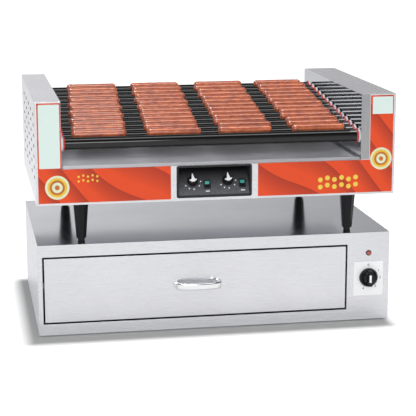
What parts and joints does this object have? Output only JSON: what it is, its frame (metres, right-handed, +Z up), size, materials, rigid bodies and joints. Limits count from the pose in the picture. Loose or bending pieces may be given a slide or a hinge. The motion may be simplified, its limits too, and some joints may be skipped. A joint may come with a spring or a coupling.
{
  "type": "hot dog roller grill with bun drawer",
  "caption": "Slanted hot dog roller grill with recessed heat controls, standing on four legs on a heated stainless bun drawer.",
  "frame": {"origin": "on the counter, under the middle of the whole set", "axes": "+X to the right seen from the front, -Y towards the customer or server at the controls (the front), +Z up"},
  "size_m": [0.914, 0.622, 0.601],
  "materials": {
    "cabinet_steel": "brushed",
    "front_steel": "fine brushed, bright",
    "cover_steel": "brushed",
    "pan_steel": "brushed",
    "mirror_steel": "polished",
    "pull_chrome": "polished",
    "foot_rubber": "matte",
    "heater_sheath": "dull",
    "control_black": "matte",
    "knob_black": "satin",
    "lamp_red": "translucent lens",
    "bezel_black": "fine texture",
    "rocker_green": "translucent, lit",
    "leg_black": "satin",
    "seal_red": "satin",
    "bush_white": "satin",
    "drive_steel": "oiled",
    "motor_grey": "satin",
    "roller_coating": "satin non-stick coating",
    "sausage": "moist skin",
    "print_orange": "printed film",
    "print_white": "printed film",
    "print_yellow": "printed film"
  },
  "bodies": {
    "root": {"cabinet_shell": "cabinet_steel", "cabinet_front": "front_steel", "cabinet_base": "cabinet_steel", "cabinet_feet": "foot_rubber", "drawer_rails": "pan_steel", "heating_elements": "heater_sheath", "rotary_controls": "control_black", "pilot_lamp": "lamp_red", "front_panel": "front_steel", "chassis_pan": "pan_steel", "left_cover": "cover_steel", "right_cover": "cover_steel", "left_inner_panel": "mirror_steel", "right_inner_panel": "mirror_steel", "control_bezel": "bezel_black", "switch_housings": "bezel_black", "legs": "leg_black", "leg_feet": "leg_black", "seal_rings": "seal_red", "bearing_bushes": "bush_white", "drive_chain": "drive_steel", "gear_motor": "motor_grey", "cord_inlets": "bezel_black"},
    "drawer": {"drawer_front": "front_steel", "drawer_pan": "pan_steel", "drawer_pull": "pull_chrome"},
    "crumb_tray": {"crumb_tray": "pan_steel"},
    "dial_knob": {"dial_knob": "knob_black"},
    "heat_knob_left": {"heat_knob_left": "knob_black"},
    "heat_knob_right": {"heat_knob_right": "knob_black"},
    "rocker_left": {"rocker_left": "rocker_green"},
    "rocker_right": {"rocker_right": "rocker_green"},
    "drive_sprocket": {"drive_sprocket": "drive_steel"},
    "roller_01": {"roller_01": "roller_coating"},
    "roller_02": {"roller_02": "roller_coating"},
    "roller_03": {"roller_03": "roller_coating"},
    "roller_04": {"roller_04": "roller_coating"},
    "roller_05": {"roller_05": "roller_coating"},
    "roller_06": {"roller_06": "roller_coating"},
    "roller_07": {"roller_07": "roller_coating"},
    "roller_08": {"roller_08": "roller_coating"},
    "roller_09": {"roller_09": "roller_coating"},
    "roller_10": {"roller_10": "roller_coating"},
    "roller_11": {"roller_11": "roller_coating"},
    "roller_12": {"roller_12": "roller_coating"},
    "roller_13": {"roller_13": "roller_coating"},
    "roller_14": {"roller_14": "roller_coating"},
    "hot_dogs_01": {"hot_dogs_01": "sausage"},
    "hot_dogs_02": {"hot_dogs_02": "sausage"},
    "hot_dogs_03": {"hot_dogs_03": "sausage"},
    "hot_dogs_04": {"hot_dogs_04": "sausage"},
    "hot_dogs_05": {"hot_dogs_05": "sausage"},
    "hot_dogs_06": {"hot_dogs_06": "sausage"},
    "hot_dogs_07": {"hot_dogs_07": "sausage"},
    "hot_dogs_08": {"hot_dogs_08": "sausage"},
    "hot_dogs_09": {"hot_dogs_09": "sausage"},
    "hot_dogs_10": {"hot_dogs_10": "sausage"},
    "hot_dogs_11": {"hot_dogs_11": "sausage"},
    "hot_dogs_12": {"hot_dogs_12": "sausage"},
    "hot_dogs_13": {"hot_dogs_13": "sausage"}
  },
  "joints": [
    {"name": "roller_01_turn", "type": "hinge", "parent": "root", "child": "roller_01", "pos_m": [-0.013, -0.2835, 0.494], "axis": [1, 0, 0], "continuous": true},
    {"name": "roller_02_turn", "type": "hinge", "parent": "root", "child": "roller_02", "pos_m": [-0.013, -0.24377, 0.49867], "axis": [1, 0, 0], "continuous": true},
    {"name": "roller_03_turn", "type": "hinge", "parent": "root", "child": "roller_03", "pos_m": [-0.013, -0.20405, 0.50333], "axis": [1, 0, 0], "continuous": true},
    {"name": "roller_04_turn", "type": "hinge", "parent": "root", "child": "roller_04", "pos_m": [-0.013, -0.16432, 0.508], "axis": [1, 0, 0], "continuous": true},
    {"name": "roller_05_turn", "type": "hinge", "parent": "root", "child": "roller_05", "pos_m": [-0.013, -0.12459, 0.51267], "axis": [1, 0, 0], "continuous": true},
    {"name": "roller_06_turn", "type": "hinge", "parent": "root", "child": "roller_06", "pos_m": [-0.013, -0.08487, 0.51733], "axis": [1, 0, 0], "continuous": true},
    {"name": "roller_07_turn", "type": "hinge", "parent": "root", "child": "roller_07", "pos_m": [-0.013, -0.04514, 0.522], "axis": [1, 0, 0], "continuous": true},
    {"name": "roller_08_turn", "type": "hinge", "parent": "root", "child": "roller_08", "pos_m": [-0.013, -0.00541, 0.52667], "axis": [1, 0, 0], "continuous": true},
    {"name": "roller_09_turn", "type": "hinge", "parent": "root", "child": "roller_09", "pos_m": [-0.013, 0.03431, 0.53134], "axis": [1, 0, 0], "continuous": true},
    {"name": "roller_10_turn", "type": "hinge", "parent": "root", "child": "roller_10", "pos_m": [-0.013, 0.07404, 0.536], "axis": [1, 0, 0], "continuous": true},
    {"name": "roller_11_turn", "type": "hinge", "parent": "root", "child": "roller_11", "pos_m": [-0.013, 0.11377, 0.54067], "axis": [1, 0, 0], "continuous": true},
    {"name": "roller_12_turn", "type": "hinge", "parent": "root", "child": "roller_12", "pos_m": [-0.013, 0.15349, 0.54534], "axis": [1, 0, 0], "continuous": true},
    {"name": "roller_13_turn", "type": "hinge", "parent": "root", "child": "roller_13", "pos_m": [-0.013, 0.19322, 0.55], "axis": [1, 0, 0], "continuous": true},
    {"name": "roller_14_turn", "type": "hinge", "parent": "root", "child": "roller_14", "pos_m": [-0.013, 0.23295, 0.55467], "axis": [1, 0, 0], "continuous": true},
    {"name": "hot_dogs_01_roll", "type": "hinge", "parent": "root", "child": "hot_dogs_01", "pos_m": [-0.013, -0.26565, 0.51345], "axis": [1, 0, 0], "continuous": true},
    {"name": "hot_dogs_02_roll", "type": "hinge", "parent": "root", "child": "hot_dogs_02", "pos_m": [-0.013, -0.22592, 0.51811], "axis": [1, 0, 0], "continuous": true},
    {"name": "hot_dogs_03_roll", "type": "hinge", "parent": "root", "child": "hot_dogs_03", "pos_m": [-0.013, -0.18619, 0.52278], "axis": [1, 0, 0], "continuous": true},
    {"name": "hot_dogs_04_roll", "type": "hinge", "parent": "root", "child": "hot_dogs_04", "pos_m": [-0.013, -0.14647, 0.52745], "axis": [1, 0, 0], "continuous": true},
    {"name": "hot_dogs_05_roll", "type": "hinge", "parent": "root", "child": "hot_dogs_05", "pos_m": [-0.013, -0.10674, 0.53212], "axis": [1, 0, 0], "continuous": true},
    {"name": "hot_dogs_06_roll", "type": "hinge", "parent": "root", "child": "hot_dogs_06", "pos_m": [-0.013, -0.06701, 0.53678], "axis": [1, 0, 0], "continuous": true},
    {"name": "hot_dogs_07_roll", "type": "hinge", "parent": "root", "child": "hot_dogs_07", "pos_m": [-0.013, -0.02729, 0.54145], "axis": [1, 0, 0], "continuous": true},
    {"name": "hot_dogs_08_roll", "type": "hinge", "parent": "root", "child": "hot_dogs_08", "pos_m": [-0.013, 0.01244, 0.54612], "axis": [1, 0, 0], "continuous": true},
    {"name": "hot_dogs_09_roll", "type": "hinge", "parent": "root", "child": "hot_dogs_09", "pos_m": [-0.013, 0.05217, 0.55078], "axis": [1, 0, 0], "continuous": true},
    {"name": "hot_dogs_10_roll", "type": "hinge", "parent": "root", "child": "hot_dogs_10", "pos_m": [-0.013, 0.09189, 0.55545], "axis": [1, 0, 0], "continuous": true},
    {"name": "hot_dogs_11_roll", "type": "hinge", "parent": "root", "child": "hot_dogs_11", "pos_m": [-0.013, 0.13162, 0.56012], "axis": [1, 0, 0], "continuous": true},
    {"name": "hot_dogs_12_roll", "type": "hinge", "parent": "root", "child": "hot_dogs_12", "pos_m": [-0.013, 0.17135, 0.56478], "axis": [1, 0, 0], "continuous": true},
    {"name": "hot_dogs_13_roll", "type": "hinge", "parent": "root", "child": "hot_dogs_13", "pos_m": [-0.013, 0.21108, 0.56945], "axis": [1, 0, 0], "continuous": true},
    {"name": "drive_sprocket_turn", "type": "hinge", "parent": "root", "child": "drive_sprocket", "pos_m": [0.379, -0.02241, 0.49997], "axis": [1, 0, 0], "continuous": true},
    {"name": "drawer_slide", "type": "slide", "parent": "root", "child": "drawer", "axis": [0, -1, 0], "range_m": [0, 0.42]},
    {"name": "crumb_tray_slide", "type": "slide", "parent": "root", "child": "crumb_tray", "axis": [0, -1, 0], "range_m": [0, 0.45]},
    {"name": "dial_knob_turn", "type": "hinge", "parent": "root", "child": "dial_knob", "pos_m": [0.401, -0.2805, 0.117], "axis": [0, 1, 0], "range_deg": [0, 300]},
    {"name": "heat_knob_left_turn", "type": "hinge", "parent": "root", "child": "heat_knob_left", "pos_m": [-0.0642, -0.27975, 0.38788], "axis": [0, 0.866, -0.5], "range_deg": [0, 240]},
    {"name": "heat_knob_right_turn", "type": "hinge", "parent": "root", "child": "heat_knob_right", "pos_m": [0.0258, -0.27975, 0.38788], "axis": [0, 0.866, -0.5], "range_deg": [0, 240]},
    {"name": "rocker_left_tilt", "type": "hinge", "parent": "root", "child": "rocker_left", "pos_m": [-0.0272, -0.28054, 0.37851], "axis": [-1, 0, 0], "range_deg": [0, 14]},
    {"name": "rocker_right_tilt", "type": "hinge", "parent": "root", "child": "rocker_right", "pos_m": [0.0628, -0.28054, 0.37851], "axis": [-1, 0, 0], "range_deg": [0, 14]}
  ],
  "couplings": [
    {"joint": "roller_02_turn", "follows": "roller_01_turn", "ratio": 1},
    {"joint": "roller_03_turn", "follows": "roller_01_turn", "ratio": 1},
    {"joint": "roller_04_turn", "follows": "roller_01_turn", "ratio": 1},
    {"joint": "roller_05_turn", "follows": "roller_01_turn", "ratio": 1},
    {"joint": "roller_06_turn", "follows": "roller_01_turn", "ratio": 1},
    {"joint": "roller_07_turn", "follows": "roller_01_turn", "ratio": 1},
    {"joint": "roller_08_turn", "follows": "roller_01_turn", "ratio": 1},
    {"joint": "roller_09_turn", "follows": "roller_01_turn", "ratio": 1},
    {"joint": "roller_10_turn", "follows": "roller_01_turn", "ratio": 1},
    {"joint": "roller_11_turn", "follows": "roller_01_turn", "ratio": 1},
    {"joint": "roller_12_turn", "follows": "roller_01_turn", "ratio": 1},
    {"joint": "roller_13_turn", "follows": "roller_01_turn", "ratio": 1},
    {"joint": "roller_14_turn", "follows": "roller_01_turn", "ratio": 1},
    {"joint": "hot_dogs_01_roll", "follows": "roller_01_turn", "ratio": -1.3636},
    {"joint": "hot_dogs_02_roll", "follows": "roller_01_turn", "ratio": -1.3636},
    {"joint": "hot_dogs_03_roll", "follows": "roller_01_turn", "ratio": -1.3636},
    {"joint": "hot_dogs_04_roll", "follows": "roller_01_turn", "ratio": -1.3636},
    {"joint": "hot_dogs_05_roll", "follows": "roller_01_turn", "ratio": -1.3636},
    {"joint": "hot_dogs_06_roll", "follows": "roller_01_turn", "ratio": -1.3636},
    {"joint": "hot_dogs_07_roll", "follows": "roller_01_turn", "ratio": -1.3636},
    {"joint": "hot_dogs_08_roll", "follows": "roller_01_turn", "ratio": -1.3636},
    {"joint": "hot_dogs_09_roll", "follows": "roller_01_turn", "ratio": -1.3636},
    {"joint": "hot_dogs_10_roll", "follows": "roller_01_turn", "ratio": -1.3636},
    {"joint": "hot_dogs_11_roll", "follows": "roller_01_turn", "ratio": -1.3636},
    {"joint": "hot_dogs_12_roll", "follows": "roller_01_turn", "ratio": -1.3636},
    {"joint": "hot_dogs_13_roll", "follows": "roller_01_turn", "ratio": -1.3636},
    {"joint": "drive_sprocket_turn", "follows": "roller_01_turn", "ratio": -1}
  ]
}
